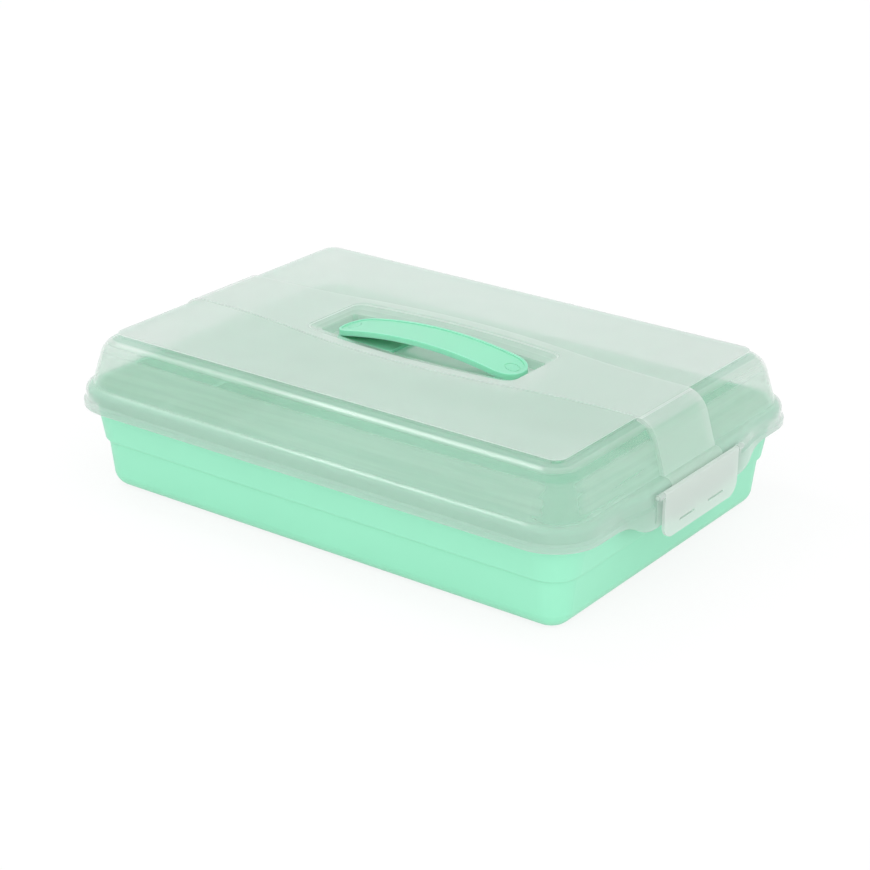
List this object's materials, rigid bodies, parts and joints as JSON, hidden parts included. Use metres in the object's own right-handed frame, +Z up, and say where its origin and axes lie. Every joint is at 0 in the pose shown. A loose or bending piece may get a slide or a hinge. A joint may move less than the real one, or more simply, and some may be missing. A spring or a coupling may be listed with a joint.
{
  "type": "cake carrier",
  "caption": "Rectangular cake carrier: shallow tray, domed translucent lid hinged at one short end, clip latch at the other, strap handle recessed in the lid.",
  "frame": {"origin": "middle of the flat underside of the tray", "axes": "+X along the length towards the latch, -X towards the hinge, +Z up"},
  "size_m": [0.4636, 0.314, 0.1263],
  "materials": {
    "mint_plastic": "semi-gloss moulded polypropylene, solid mint",
    "clear_plastic": "translucent natural polypropylene, smooth and slightly hazy",
    "handle_plastic": "semi-gloss moulded polypropylene, solid mint",
    "frosted_plastic": "translucent polypropylene, thicker and frosted",
    "rod_plastic": "satin mint polypropylene rod"
  },
  "bodies": {
    "base": {"base_tray": "mint_plastic", "lid_hinge_rod": "rod_plastic"},
    "lid": {"lid_shell": "clear_plastic", "carry_handle": "handle_plastic"},
    "latch": {"end_latch": "frosted_plastic"}
  },
  "joints": [
    {"name": "lid_hinge", "type": "hinge", "parent": "base", "child": "lid", "pos_m": [-0.2274, 0, 0.0625], "axis": [0, -1, 0], "range_deg": [0, 105]},
    {"name": "latch_pivot", "type": "hinge", "parent": "lid", "child": "latch", "pos_m": [0.2296, 0, 0.0785], "axis": [0, -1, 0], "range_deg": [0, 110]}
  ]
}
